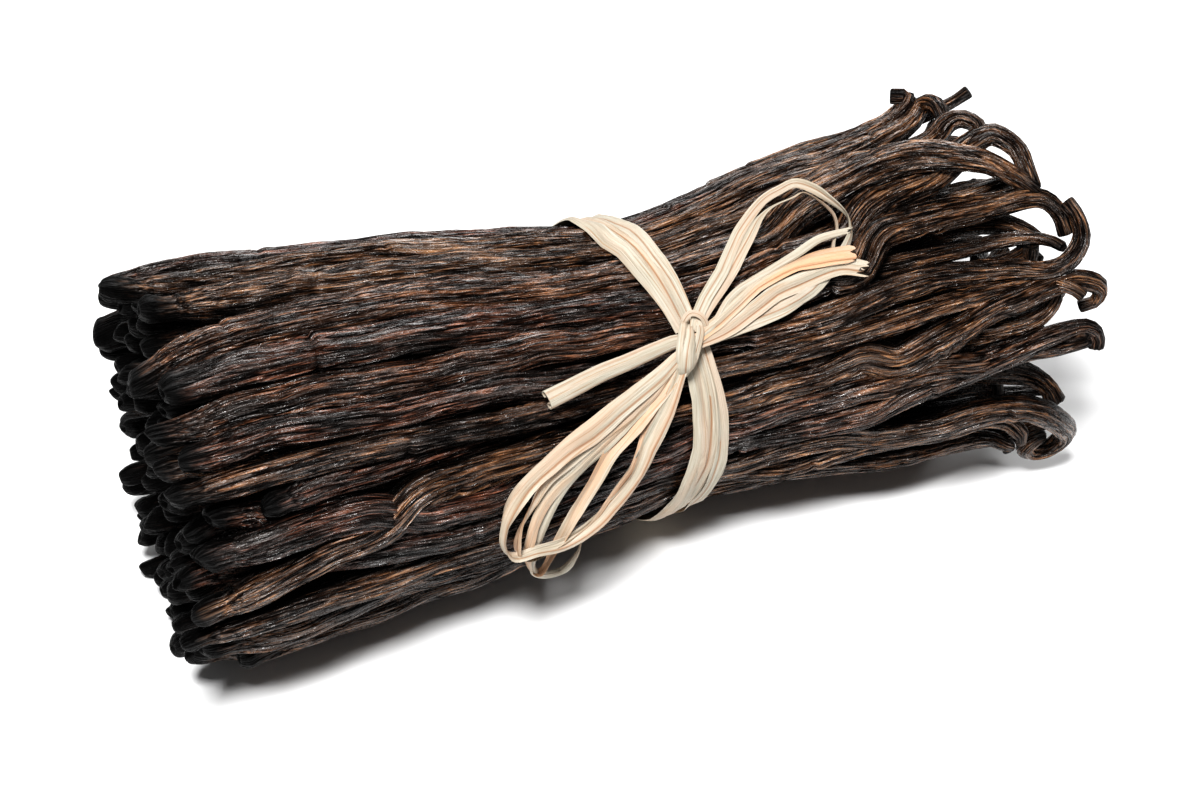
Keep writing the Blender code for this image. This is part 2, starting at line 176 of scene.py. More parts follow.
def spline(points, step):
    """Points every `step` along a smooth curve through the given ones."""
    p = np.vstack([2 * points[0] - points[1], points, 2 * points[-1] - points[-2]])
    fine = []
    for a, b, c, d in zip(p, p[1:], p[2:], p[3:]):
        for t in np.linspace(0, 1, 12, endpoint=False):
            fine.append(
                0.5 * (2 * b + (c - a) * t + (2 * a - 5 * b + 4 * c - d) * t**2
                       + (3 * b - a - 3 * c + d) * t**3)
            )
    fine.append(points[-1])
    fine = np.array(fine)
    run = run_along(fine)
    marks = np.linspace(0, run[-1], max(4, int(run[-1] / step) + 1))
    return np.stack([np.interp(marks, run, fine[:, k]) for k in range(fine.shape[1])], axis=-1)


def pod_slots(rng):
    """Each pod's ring, the angle it starts at, where a short one's tip is, and how proud it lies."""
    slots = []
    for ring, count in enumerate(RINGS):
        start = rng.uniform(0, 360)
        slots += [(ring, start + 360 * k / count, None, 0.0) for k in range(count)]
    return slots + [(0, angle, tip, proud) for tip, angle, proud in SHORT_PODS]


def loose_pod(rng, slot, stations):
    """One pod before the bundle is packed: its middle across the bundle, its radius and its limit."""
    ring, angle, tip, proud = slot
    share = (stations - TIP_X) / (STALK_X - TIP_X)
    squeeze = 1 - WAIST_SQUEEZE * np.exp(-((stations / WAIST_REACH) ** 2))
    narrowing = 1 - STALK_NARROWING * np.clip((stations - 30) / 40, 0, 1)
    size = POD_RADIUS + np.clip(rng.normal(0, POD_SPREAD), -POD_LIMIT, POD_LIMIT)
    drift = 0 if proud else rng.normal(0, POD_DRIFT)
    wander = sum(
        rng.normal(0, POD_WANDER / math.sqrt(n), (1, 2))
        * np.sin(math.pi * n * share[:, None] + rng.uniform(0, 6))
        for n in (1, 2, 3, 4)
    )
    turn = np.radians(angle + drift * (share - 0.5) + rng.normal(0, 2.0))
    depth = POD_RADIUS * (1 + RING_PITCH * ring) * squeeze
    reach = np.maximum(outline_radius(stations) - depth, 1.0)
    centre = np.stack([-reach * np.cos(turn), reach * np.sin(turn)], axis=-1)
    radius = size * squeeze * narrowing
    if proud:
        radius = radius * np.where(stations < tip - 4, 0.05, 1.0)
    else:
        centre = centre + wander
    standing_out = proud * np.clip(np.abs(stations) / 45, 0, 1) ** 2
    return centre, radius, outline_radius(stations) + standing_out - radius


def pod_layout(rng):
    """Where each pod's middle runs across the bundle, settled until no two press into each other."""
    stations = np.arange(TIP_X - 5, STALK_X + 5.1, STATION_STEP)
    slots = pod_slots(rng)
    centres, radii, limits = map(np.array, zip(*(loose_pod(rng, slot, stations) for slot in slots)))
    height = outline_height(stations)
    pair_reach = radii[:, None] + radii[None]
    for _ in range(SETTLE_ROUNDS):
        gap = centres[:, None] - centres[None]
        dist = np.linalg.norm(gap, axis=-1) + 1e-6
        push = np.clip(pair_reach - dist, 0, None) / dist
        centres = centres + SETTLE_PUSH * (gap * push[..., None]).sum(axis=1)
        bend = centres[:, :-2] + centres[:, 2:] - 2 * centres[:, 1:-1]
        centres[:, 1:-1] += STIFFNESS * bend
        far = np.linalg.norm(centres, axis=-1)
        centres *= np.minimum(1, limits / np.maximum(far, 1e-6))[..., None]
        centres[..., 1] = np.maximum(centres[..., 1], radii - height)
    return stations, centres, radii, slots


def placed_stalks(stations, centres, slots):
    """Which pod of the outer ring each of the curled stalks belongs to: the nearest one still free."""
    angles = np.degrees(np.arctan2(centres[..., 1], -centres[..., 0]))
    taken = {}
    for stalk in CURLED_STALKS:
        first_x, first_angle, _ = stalk[0]
        off = np.abs((angles[:, np.searchsorted(stations, first_x)] - first_angle + 180) % 360 - 180)
        off[[k for k, slot in enumerate(slots) if slot[0] > 0 or slot[3] > 0 or k in taken]] = 999
        taken[int(np.argmin(off))] = stalk
    return taken


def random_stalk(rng, start, heading, ring):
    """The thin end of a pod, curling away from where its straight run stops."""
    side = rng.normal(0, 1, 3)
    if ring == 0:
        side += 1.2 * np.array([0, start[1], start[2] - STALK_HEIGHT]) / STALK_RADIUS
    side -= side.dot(heading) * heading
    side /= np.linalg.norm(side)
    curl = math.radians(rng.uniform(*STALK_CURL))
    length = rng.uniform(*STALK_LENGTH)
    steps = 6
    points = []
    point = start.copy()
    for k in range(steps):
        turn = curl * ((k + 0.5) / steps) ** 1.6
        point = point + length / steps * (math.cos(turn) * heading + math.sin(turn) * side)
        axis = np.array([point[0], 0.0, outline_height(point[0])])
        reach = outline_radius(point[0]) + STALK_REACH
        away = np.linalg.norm(point - axis)
        points.append(axis + (point - axis) * min(1.0, reach / away))
    return points


def loose_tip(rng, height):
    """Where along X a pod's tip is, from its height above the axis. A few tips are set back."""
    share, least, most = SET_BACK
    back = rng.uniform(least, most) if rng.uniform() < share else 0.0
    return TIP_X + rng.normal(*TIP_SCATTER) + TIP_LEAN * height / TIP_RADIUS + back


def pod_runs():
    """Every pod: its ring, its placed stalk if it has one, its middle's points and its radii."""
    rng = np.random.default_rng(SEED)
    stations, centres, radii, slots = pod_layout(rng)
    height = outline_height(stations)
    taken = placed_stalks(stations, centres, slots)
    runs = []
    for k, (ring, _, short_tip, proud) in enumerate(slots):
        stalk = taken.get(k)
        tip = short_tip if proud else loose_tip(rng, centres[k, 0, 1])
        straight_to = stalk[0][0] - 7 if stalk else STALK_X - 13 + rng.normal(0, 3.5)
        xs = np.append(np.arange(tip, straight_to - 3, STATION_STEP), straight_to)
        y = np.interp(xs, stations, centres[k, :, 0])
        z = np.interp(xs, stations, centres[k, :, 1] + height)
        points = list(np.stack([xs, y, z], axis=-1))
        if stalk:
            points += [on_bundle(*place) for place in stalk]
        else:
            heading = points[-1] - points[-2]
            points += random_stalk(rng, points[-1], heading / np.linalg.norm(heading), ring)
        runs.append((ring, stalk, np.array(points), (stations, radii[k])))
    return runs


# ---------------------------------------------------------------- surface detail
def lattice_noise(rng, along, around, cells):
    """Gradient noise on a strip that closes on itself round the pod, about -0.7 to 0.7."""
    turn = rng.uniform(0, 2 * math.pi, (int(along.max()) + 2, cells))
    i = np.floor(along).astype(int)
    j = np.floor(around).astype(int)
    u = along - i
    v = around - j

    def corner(di, dj):
        t = turn[i + di, (j + dj) % cells]
        return np.cos(t) * (u - di) + np.sin(t) * (v - dj)

    su = u * u * u * (u * (6 * u - 15) + 10)
    sv = v * v * v * (v * (6 * v - 15) + 10)
    low = corner(0, 0) * (1 - su) + corner(1, 0) * su
    high = corner(0, 1) * (1 - su) + corner(1, 1) * su
    return low * (1 - sv) + high * sv


def pod_frames(line, up):
    """Two sideways directions at each point of a line, carried along without twisting."""
    ahead = headings(line)
    side = up - up.dot(ahead[0]) * ahead[0]
    sides = [side / np.linalg.norm(side)]
    for direction in ahead[1:]:
        side = sides[-1] - sides[-1].dot(direction) * direction
        sides.append(side / np.linalg.norm(side))
    sides = np.array(sides)
    return sides, np.cross(ahead, sides)


# The rings that round off a pod's tip and its cut stalk: how far from the end, and the share of radius.
TIP_PROFILE = np.array([
    (0.62, 0.07), (0.40, 0.20), (0.08, 0.33), (0.0, 0.44), (0.14, 0.57), (0.45, 0.71), (0.9, 0.84),
    (1.4, 0.93), (2.0, 0.985),
])
END_PROFILE = np.array([(1.0, 1.0), (0.4, 1.0), (0.08, 0.92), (0.0, 0.74), (0.25, 0.45), (0.4, 0.12)])
FIRST_RING = 2.7  # from the tip
LAST_RING = 1.6  # from the end of the stalk
KINK_RING_STEP = 0.6
COARSE_CREASE = (24.0, 13, 0.55)  # how long the creases are, how many go round a pod, how deep
FINE_CREASE = (16.0, 29, 0.34)
LOOSENESS = 0.96  # a pod's radius as a share of the room it has
FLANK = 0.62  # the cosine where a pod turns in towards its neighbours; there painted shade makes it darker and duller
FLANK_FADE = 0.8
FLANK_SHADE = 0.9
BAND_PRESS = 7.5  # how far along X the band holds the pods down, and how softly that ends
BAND_FADE = 3.0


def along(line, s, run):
    return np.stack([np.interp(s, run, line[:, k]) for k in range(3)], axis=-1)


def pod_stations(total, kinks, step):
    """Distances from the tip of a pod's rings, close together at its kinks, and each ring's share."""
    first, last = FIRST_RING, total - LAST_RING
    near = np.arange(-2.4, 2.5, KINK_RING_STEP)
    marks = [np.arange(first, last, step)] + [at + near for at in kinks]
    marks = np.unique(np.clip(np.concatenate(marks), first, last))
    kept = [marks[0]]
    for mark in marks[1:]:
        if mark - kept[-1] > 0.4:
            kept.append(mark)
    s = np.concatenate([TIP_PROFILE[:, 0], kept, total - END_PROFILE[:, 0]])
    share = np.concatenate([TIP_PROFILE[:, 1], np.ones(len(kept)), END_PROFILE[:, 1]])
    return s, share


def uneven_line(rng, points):
    """A pod's middle line with small random waves, and a bend at its tip."""
    line = spline(points, 0.6)
    run = run_along(line)
    for axis in (1, 2):
        for size, low, high in ((0.26, 5, 9), (0.14, 2.2, 4)):
            wave = rng.normal(0, size) * np.sin(run / rng.uniform(low, high) + rng.uniform(0, 6))
            line[:, axis] += wave * np.clip(run / 15, 0, 1)
        line[:, axis] += np.clip(rng.normal(0, 0.9), -1.5, 1.5) * np.clip(1 - run / 13, 0, 1) ** 2
    return line, run


def pod_radius(rng, s, left, size):
    """A pod's radius along it: a blunt tip behind a narrow neck, and a thin stalk with a thick end."""
    thin = STALK_THINNEST + (1 - STALK_THINNEST) * np.clip(left / STALK_TAPER, 0, 1) ** 0.8
    stump = 1 + rng.uniform(0.0, 0.28) * np.exp(-((left / 1.4) ** 2))
    knob = rng.uniform(0.62, 0.86)
    shoulder = rng.uniform(8, 20)
    nose = knob + (1 - knob) * np.clip((s - 3) / shoulder, 0, 1) ** 0.9
    nose -= rng.uniform(0.0, 0.17) * np.exp(-(((s - rng.uniform(3.8, 6.0)) / 1.9) ** 2))
    return LOOSENESS * size * thin * stump * nose


def creases(rng, S, W, kind):
    """0 in the bottom of the creases of one kind, 1 on the ridges between."""
    length, count, _ = kind
    return np.clip(np.abs(lattice_noise(rng, S / length + 1, W * count, count)) / 0.44, 0, 1)


def pod_creases(rng, S, T):
    """The coarse and the fine creases, which run along the pod and wander a little round it."""
    warp = 0.035 * lattice_noise(rng, S / 24 + 1, T * 4, 4)
    warp += 0.026 * lattice_noise(rng, S / 9 + 1, T * 7, 7)
    warp += 0.012 * lattice_noise(rng, S / 4 + 1, T * 9, 9)
    W = (T + warp + rng.uniform(-0.25, 0.25) * S / 180) % 1.0
    return creases(rng, S, W, COARSE_CREASE) ** 0.75, creases(rng, S, W, FINE_CREASE) ** 0.8


def pod_swelling(rng, S, T, P):
    """How far a pod is from round, as a share of its radius."""
    swelling = 0.12 * lattice_noise(rng, S / 13 + 1, T * 3, 3)
    swelling += 0.07 * lattice_noise(rng, S / 5 + 1, T * 4, 4)
    swelling += 0.28 * np.exp(-S / 5) * lattice_noise(rng, S / 2.6 + 1, T * 5, 5)
    return swelling + 0.05 * np.cos(3 * P + rng.uniform(0, 6) + S / 60) + 0.04 * np.cos(2 * P + S / 45)


def kink_folds(rng, kinks, S, T, P):
    """The height of the skin at each kink: a fold pressed in across one face, with a lip beside it."""
    folds = np.zeros_like(S)
    for at in kinks:
        face = rng.uniform(-math.pi, math.pi)
        d = S - at - rng.uniform(-1.6, 1.6) * np.cos(P - face)
        d -= 0.6 * lattice_noise(rng, S / 4 + 1, T * 6, 6)
        reach = np.clip(0.35 + 0.65 * np.cos(P - face), 0, 1)
        folds += rng.uniform(0.2, 0.65) * reach * (
            0.6 * np.exp(-(((d - 1.4) / 1.3) ** 2)) - np.exp(-((d / 0.6) ** 2))
        )
    return folds


def flattened(rng, out, across, turn_on):
    """A pod's section pressed a little flat, in a direction that turns slowly along it."""
    flat = 1 + rng.uniform(0.02, 0.11)
    roll = rng.uniform(-0.35, 0.35) + rng.uniform(-0.5, 0.5) * turn_on
    turned = (out * np.cos(roll) + across * np.sin(roll)) / flat
    other = (across * np.cos(roll) - out * np.sin(roll)) * flat
    return turned * np.cos(roll) - other * np.sin(roll), turned * np.sin(roll) + other * np.cos(roll)


def pod_surface(rng, points, sizes, step, sides):
    """One pod's grid of points, its relief from 0 to 1 with painted shade on its flanks, distances along
    it, and its straight shape.
    """
    line, run = uneven_line(rng, points)
    total = run[-1]
    up = np.array([0.0, line[0, 1], line[0, 2] - outline_height(line[0, 0]) + 0.01])
    side, cross = pod_frames(line, up)
    kinks = rng.uniform(16, total - 16, rng.integers(3, 7))
    s, share = pod_stations(total, kinks, step)
    left = total - s
    middle, side, cross, ahead = (along(v, s, run) for v in (line, side, cross, np.cross(side, cross)))
    radius = pod_radius(rng, s, left, np.interp(middle[:, 0], *sizes))

    t = np.linspace(-1, 1, sides, endpoint=False)
    phi = math.pi * (0.62 * t + 0.38 * t**3)  # closer together on the side that shows
    S, T = np.meshgrid(s, phi / (2 * math.pi) + 0.5, indexing="ij")
    P = np.broadcast_to(phi, S.shape)
    coarse, fine = pod_creases(rng, S, T)
    swelling = pod_swelling(rng, S, T, P)
    folds = kink_folds(rng, kinks, S, T, P)
    soft = (np.clip(s / 5, 0.4, 1) * np.clip(radius / 2.8, 0.35, 1) * share)[:, None]
    depth = COARSE_CREASE[2] * (coarse - 0.60) + FINE_CREASE[2] * (fine - 0.56) + folds
    shape = np.maximum((radius * share)[:, None] * (1 + swelling) + depth * soft, 0.05)
    out, across = flattened(rng, shape * np.cos(P), shape * np.sin(P), S / total)
    lean = rng.uniform(0.0, 0.7) * np.exp(-S / 2.2) * shape * np.cos(P - rng.uniform(0, 6))
    grid = middle[:, None] + side[:, None] * out[..., None] + cross[:, None] * across[..., None]
    grid += ahead[:, None] * lean[..., None]
    # Painted shade: flanks that turn in towards the neighbouring pods get a lower relief, so a darker and
    # less shiny skin.
    painted_flank_shade = np.clip((FLANK - np.cos(P)) / FLANK_FADE, 0, 1) * np.clip(left / STALK_TAPER, 0, 1)[:, None]
    relief_and_painted_shade = np.clip(0.62 * coarse + 0.38 * fine + 0.5 * folds, 0, 1) - FLANK_SHADE * painted_flank_shade
    straight = np.stack([S, radius[:, None] * np.cos(P), radius[:, None] * np.sin(P)], axis=-1)
    return grid, relief_and_painted_shade, S, left, straight


def under_band(grid):
    """Holds the pods just inside the outline where the raffia lies on them."""
    x = grid[..., 0]
    dy = grid[..., 1]
    dz = grid[..., 2] - outline_height(x)
    away = np.hypot(dy, dz)
    angle = np.degrees(np.arctan2(dz, -dy))
    off = np.abs(x - band_x(angle))
    pull = np.clip((BAND_PRESS - off) / BAND_FADE, 0, 1)
    reach = outline_radius(x) - 0.1
    scale = np.where(away > reach, 1 - pull * (1 - reach / away), 1.0)
    grid[..., 1] = dy * scale
    grid[..., 2] = outline_height(x) + dz * scale
    return grid


def band_x(angle):
    """Where the band lies along X: the bow pulls its front towards the stalks."""
    off = (np.asarray(angle) - BAND_FRONT + 180) % 360 - 180
    return BAND_SLIP * (np.exp(-((off / BAND_SLIP_REACH) ** 2)) - 1)


def grid_mesh(name, grids, strips, looks, straights):
    """One mesh of many tubes. Each tube is a grid of points; `strips` are its places in the UV square.

    A look holds a point's relief or fold mark, both with painted shade in them, its char or peach and its
    tone. A straight shape holds its place on the straightened tube, which the materials' patterns follow.
    """
    coords, quads, uvs, cap_rings, cap_uvs = [], [], [], [], []
    base = 0
    for grid, strip in zip(grids, strips):
        n, m = grid.shape[:2]
        coords.append(grid.reshape(-1, 3))
        i, j = np.meshgrid(np.arange(n - 1), np.arange(m), indexing="ij")
        k = (j + 1) % m
        corners = (i * m + j, (i + 1) * m + j, (i + 1) * m + k, i * m + k)
        quads.append(base + np.stack(corners, axis=-1).reshape(-1, 4))
        uvs.append(strip_uv(grid, strip).reshape(-1, 2))
        cap_rings += [base + np.arange(m), base + (n - 1) * m + np.arange(m)[::-1]]
        turn = np.linspace(0, 2 * math.pi, m, endpoint=False)
        cap = strip["cap_size"] / 2 * np.stack([np.cos(turn), np.sin(turn)], axis=-1)
        cap_uvs += [np.array(centre) + cap for centre in strip["caps"]]
        base += n * m
    coords = (np.concatenate(coords) + SHIFT) * MM
    quads = np.concatenate(quads)
    loops = np.concatenate([quads.reshape(-1), *cap_rings]).astype(np.int32)
    sizes = [4] * len(quads) + [len(ring) for ring in cap_rings]
    starts = np.cumsum([0] + sizes[:-1]).astype(np.int32)
    mesh = bpy.data.meshes.new(name)
    mesh.vertices.add(len(coords))
    mesh.vertices.foreach_set("co", coords.astype(np.float32).reshape(-1))
    mesh.loops.add(len(loops))
    mesh.loops.foreach_set("vertex_index", loops)
    mesh.polygons.add(len(starts))
    mesh.polygons.foreach_set("loop_start", starts)
    mesh.update(calc_edges=True)
    mesh.validate()
    uv = mesh.uv_layers.new(name="OFBake")
    uv.data.foreach_set("uv", np.concatenate(uvs + cap_uvs).astype(np.float32).reshape(-1))
    for kind, values in (("look", looks), ("straight", straights)):
        layer = mesh.attributes.new(kind, "FLOAT_VECTOR", "POINT")
        flat = np.concatenate([value.reshape(-1) for value in values])
        layer.data.foreach_set("vector", flat.astype(np.float32))
    mesh.polygons.foreach_set("use_smooth", np.ones(len(starts), dtype=bool))
    obj = bpy.data.objects.new(name, mesh)
    bpy.context.scene.collection.objects.link(obj)
    return obj


UV_EDGE = 0.005
UV_WIDTH = 0.93  # of the strips
UV_CAPS = 0.965  # where the column of end caps is


def strip_uv(grid, strip):
    """Corner UVs of a tube of points laid out as straight strips, one above the other."""
    n, m = grid.shape[:2]
    rows = strip["rows"]
    steps = np.maximum(np.linalg.norm(np.diff(grid, axis=0), axis=-1).mean(axis=1), 0.05)
    run = np.concatenate([[0], np.cumsum(steps)])
    starts = np.searchsorted(run, np.arange(rows + 1) * run[-1] / rows)
    starts[-1] = n - 1
    longest = np.max(np.diff(run[starts]))
    i, j = np.meshgrid(np.arange(n - 1), np.arange(m), indexing="ij")
    row = np.clip(np.searchsorted(starts, i, side="right") - 1, 0, rows - 1)
    u0 = UV_EDGE + (run[i] - run[starts[row]]) / longest * UV_WIDTH
    u1 = UV_EDGE + (run[i + 1] - run[starts[row]]) / longest * UV_WIDTH
    low = strip["v0"] + row * strip["pitch"]
    v0 = low + j / m * strip["height"]
    v1 = low + (j + 1) / m * strip["height"]
    return np.stack([np.stack([u0, v0], -1), np.stack([u1, v0], -1),
                     np.stack([u1, v1], -1), np.stack([u0, v1], -1)], axis=2)


def strips_for(count, rows):
    """UV strips for `count` tubes of `rows` rows each, with their end caps in a column at the side."""
    pitch = (1 - 2 * UV_EDGE) / (count * rows)
    cap = min(0.8 * pitch, 0.04) if rows > 1 else min(0.4 * pitch, 0.03)
    apart = (rows - 1) * pitch if rows > 1 else 1.2 * cap
    strips = []
    for v0 in UV_EDGE + np.arange(count) * rows * pitch:
        strips.append({
            "rows": rows, "v0": v0, "pitch": pitch, "height": 0.94 * pitch, "cap_size": cap,
            "caps": ((UV_CAPS, v0 + cap / 2), (UV_CAPS, v0 + cap / 2 + apart)),
        })
    return strips


# ---------------------------------------------------------------- pods
PODS_A_PIECE = 2  # in the outer ring
SECOND_SPLIT = 12  # pods of the second ring in its first piece
# Each ring's grid: the distance between rings of points, the points round a pod, and its UV rows.
OUTER_GRID = (1.5, 64, 2)
SECOND_GRID = (2.2, 26, 1)
INNER_GRID = (3.6, 16, 1)
CORE_STEP = 4.0
CORE_SIDES = 40
CORE_DEPTH = 11.0  # below the outline
CHAR_REACH = (3, 8)  # how far from its tip a pod is nearly black
BROWNER = 0.38  # how much browner the pods are on the stalk side
BROWN_FROM = -10.0  # along X
BROWN_FADE = 50.0
STALK_TONES = {ARCHED_STALK: 0.62, GOLDEN_HOOK: 0.95, BROAD_CURL: 0.78, UPRIGHT_HOOK: 0.45, LOW_STALK: 0.5}


def pod_tone(rng, stalk):
    """How brown or golden a pod is, from 0 for nearly black to 1 for golden brown."""
    tone = rng.beta(2.2, 2.2)
    return STALK_TONES.get(stalk, tone)


def make_pods(name, runs, step, sides, rows, material):
    grids, looks, straights = [], [], []
    for number, _, stalk, points, sizes in runs:
        rng = np.random.default_rng(1000 + number)
        grid, relief_and_painted_shade, S, left, straight = pod_surface(rng, points, sizes, step, sides)
        grid = under_band(grid)
        grid[..., 2] = np.maximum(grid[..., 2], 0.0)
        tone = pod_tone(rng, stalk)
        around = np.broadcast_to(np.linspace(0, 4, sides, endpoint=False), S.shape)
        edge = rng.uniform(*CHAR_REACH) + 2 * lattice_noise(rng, S / 3 + 1, around, 4)
        char = np.clip(1.3 - S / np.maximum(edge, 1.5), 0, 1)
        char = np.maximum(char, np.clip(0.85 - left[:, None] / 5, 0, 1) * np.ones_like(S))
        browner = BROWNER * np.clip((S + points[0, 0] - BROWN_FROM) / BROWN_FADE, 0, 1)
        look = np.stack([relief_and_painted_shade, char, tone + browner], axis=-1)
        grids.append(grid)
        looks.append(look)
        straights.append(straight + np.array([number * 300.0, 0, 0]))
    piece = grid_mesh(name, grids, strips_for(len(runs), rows), looks, straights)
    piece.data.materials.append(material)
    return piece


def build_pods(material):
    runs = [(k, *run) for k, run in enumerate(pod_runs())]
    outer = [run for run in runs if run[1] == 0]
    second = [run for run in runs if run[1] == 1]
    inner = [run for run in runs if run[1] > 1]
    pieces = []
    for k in range(0, len(outer), PODS_A_PIECE):
        group = outer[k : k + PODS_A_PIECE]
        pieces.append(make_pods(f"pods_outer_{k // PODS_A_PIECE + 1:02d}", group, *OUTER_GRID, material))
    pieces.append(make_pods("pods_second_a", second[:SECOND_SPLIT], *SECOND_GRID, material))
    pieces.append(make_pods("pods_second_b", second[SECOND_SPLIT:], *SECOND_GRID, material))
    pieces.append(make_pods("pods_inner", inner, *INNER_GRID, material))
    return pieces


def build_painted_shade_core(material):
    """A near-black core of painted shade that fills the heart of the bundle, where no pod is seen."""
    xs = np.arange(TIP_X + 12, STALK_X - 30, CORE_STEP)
    reach = outline_radius(xs) - CORE_DEPTH
    reach[[0, -1]] *= 0.6
    t = np.linspace(0, 2 * math.pi, CORE_SIDES, endpoint=False)
    grid = np.stack([
        np.broadcast_to(xs[:, None], (len(xs), CORE_SIDES)),
        -reach[:, None] * np.cos(t)[None],
        outline_height(xs)[:, None] + reach[:, None] * np.sin(t)[None],
    ], axis=-1)
    # Painted shade: a low relief and much char make the core near black.
    flat = np.zeros_like(grid)
    flat[..., 0] = 0.1
    flat[..., 1] = 0.6
    piece = grid_mesh("pods_painted_shade_core", [grid], strips_for(1, 1), [flat], [grid])
    piece.data.materials.append(material)
    return piece


# ---------------------------------------------------------------- raffia
# Each strand's route as places on the bundle, from the knot outwards.
UPPER_OUTER = (
    (-0.7, 49, 4), (2, 56, 3.4), (10.2, 71, 2.8), (15.2, 79, 3), (20.4, 85, 3.4), (24.4, 86, 3.8),
    (27, 86, 4), (29.3, 82, 4), (31.2, 76, 3.8), (32.8, 70, 3.4), (32.8, 65, 3.2), (31.5, 61, 3),
    (28.6, 57, 2.6), (23.9, 52, 2.2), (17.8, 48, 2), (10.6, 47, 2.2), (4.9, 46, 3), (-0.6, 45, 4),
)
UPPER_INNER = (
    (-0.5, 49, 4), (3.4, 56, 3.2), (7.9, 63, 2.6), (14.4, 73, 2.6), (20.2, 81, 3), (25.3, 82, 3.6),
    (27.6, 82, 3.8), (29.3, 77, 3.6), (30.5, 72, 3), (30.4, 67, 2.6), (29.1, 63, 2.4),
    (26.5, 57, 2.2), (21.4, 53, 1.8), (15.5, 50, 1.8), (9.2, 48, 2.2), (3.9, 47, 3), (-0.6, 45, 4),
)
PEACH_TAIL = (
    (-1.2, 46, 4.4), (2.2, 49, 3.8), (8.8, 54, 3.2), (15, 58, 3), (20.7, 60, 3), (26, 59, 3.4),
    (30.7, 57, 4),
)
FRAYED_TAIL = (
    (-0.9, 45, 4), (4.8, 47, 3.2), (11.2, 51, 2.8), (17.1, 54, 2.6), (22.7, 55, 2.8), (28.1, 55, 3),
    (32.2, 52, 3.4),
)
THIN_TAIL = (
    (-1, 47, 4.2), (2.4, 49, 3.8), (7.5, 56, 3.2), (12.4, 59, 3), (16.7, 61, 3), (21.5, 63, 3.2),
    (26.2, 65, 3.6), (32, 64, 4),
)
ROLLED_TAIL = (
    (-2.3, 45, 4), (-4.1, 47, 3.6), (-8.1, 46, 3.2), (-14, 44, 3), (-20.1, 42, 3), (-25.5, 40, 3),
    (-30.8, 38, 3.2),
)
LOWER_OUTER = (
    (-3.3, 43, 4.2), (-5.1, 42, 3.8), (-9.5, 37, 3), (-14.5, 33, 2.6), (-21.3, 28, 2.4),
    (-28, 24, 2.6), (-32.9, 20, 2.8), (-36.7, 16, 3), (-40.5, 10, 3), (-42.5, 4, 3.2),
    (-42.8, -2, 3.4), (-40.9, -7, 3.8), (-36.9, -7, 4.2), (-31, -9, 4), (-25.1, -7, 3.6),
    (-20.4, -1, 3.2), (-15.5, 9, 3), (-11.3, 21, 3), (-7.5, 31, 3.4), (-4.5, 39, 4),
)
LOWER_SECOND = (
    (-3.7, 42, 4), (-5.8, 40, 3.2), (-10.9, 33, 2.4), (-16.1, 28, 2), (-21.7, 23, 2),
    (-27.9, 18, 2.2), (-33.3, 14, 2.4), (-37.1, 8, 2.6), (-39.7, 1, 2.8), (-39.9, -7, 3.2),
    (-37.7, -11, 3.6), (-32.5, -10, 3.6), (-27.2, -9, 3.2), (-23.1, -4, 2.8), (-18.8, 4, 2.4),
    (-14.3, 13, 2.2), (-10.8, 24, 2.4), (-7.5, 32, 3), (-4.4, 39, 3.8),
)
LOWER_THIRD = (
    (-3.6, 42, 3.8), (-7.2, 37, 2.8), (-13.6, 29, 1.8), (-21.2, 20, 1.6), (-27.5, 14, 1.8),
    (-32.3, 10, 2), (-35.5, 4, 2.4), (-37.5, -5, 2.8), (-38.2, -13, 3), (-36.6, -22, 3.2),
    (-34.8, -24, 3.4), (-32.7, -15, 3), (-28.8, -2, 2.4), (-24.3, 8, 1.8), (-19.8, 17, 1.6),
    (-13.9, 26, 2), (-8.7, 33, 2.8), (-4.3, 39, 3.8),
)
LOWER_LOOSE = (
    (-3.9, 41, 3.6), (-8.7, 32, 2.2), (-16.2, 25, 1.4), (-22.4, 18, 1.2), (-28, 12, 1.4),
    (-31.8, 6, 1.8), (-34.4, -1, 2.2), (-36.2, -9, 2.6), (-36.4, -21, 3), (-33.4, -30, 3.4),
    (-29.7, -32, 3.6), (-27.7, -19, 3.6), (-26.9, -12, 3.2), (-24.7, -8, 2.6), (-20.4, 1, 2),
    (-15.1, 13, 2.4), (-9.7, 25, 2.8), (-6, 34, 3.4), (-4.4, 39, 4),
)
KNOT_FRONT = (
    (-0.5, 51.5, 2), (-1.4, 50, 4.4), (-2.4, 47, 5.7), (-3.6, 43, 6), (-4.2, 39, 5), (-4, 36, 2.2),
)
KNOT_LEFT = ((-1.2, 54, 2.0), (-2.4, 51, 4.2), (-3.8, 46, 4.7), (-4.7, 41, 4.2), (-4.3, 37, 2.4))
KNOT_RIGHT = ((0.8, 53, 2.2), (0.3, 49, 4.4), (-1.3, 44, 4.9), (-2.9, 39, 4.4), (-3.5, 36.5, 2.4))
KNOT_TOP = ((-2.6, 50, 2.0), (-2.0, 53, 4.0), (-0.4, 54.5, 4.6), (1.4, 52, 4.4), (2.2, 46, 2.6))

STRAND_THICKNESS = 0.2
FOLD_ANGLE = 9.0  # degrees: strands show an edge where they fold more sharply than this
KINK_SPACING = (4.0, 10.0)
KINK_SHIFT = 0.28
KINK_ROLL = 13.0  # degrees


def kinked(rng, s, size):
    """Random bends along a strand, straight in between as dry raffia is, and none at its ends."""
    marks = np.cumsum(rng.uniform(*KINK_SPACING, 60))
    marks = marks[marks < s[-1] - KINK_SPACING[0]]
    values = np.concatenate([[0], rng.normal(0, size, len(marks)), [0]])
    return np.interp(s, np.concatenate([[0], marks, [s[-1]]]), values)


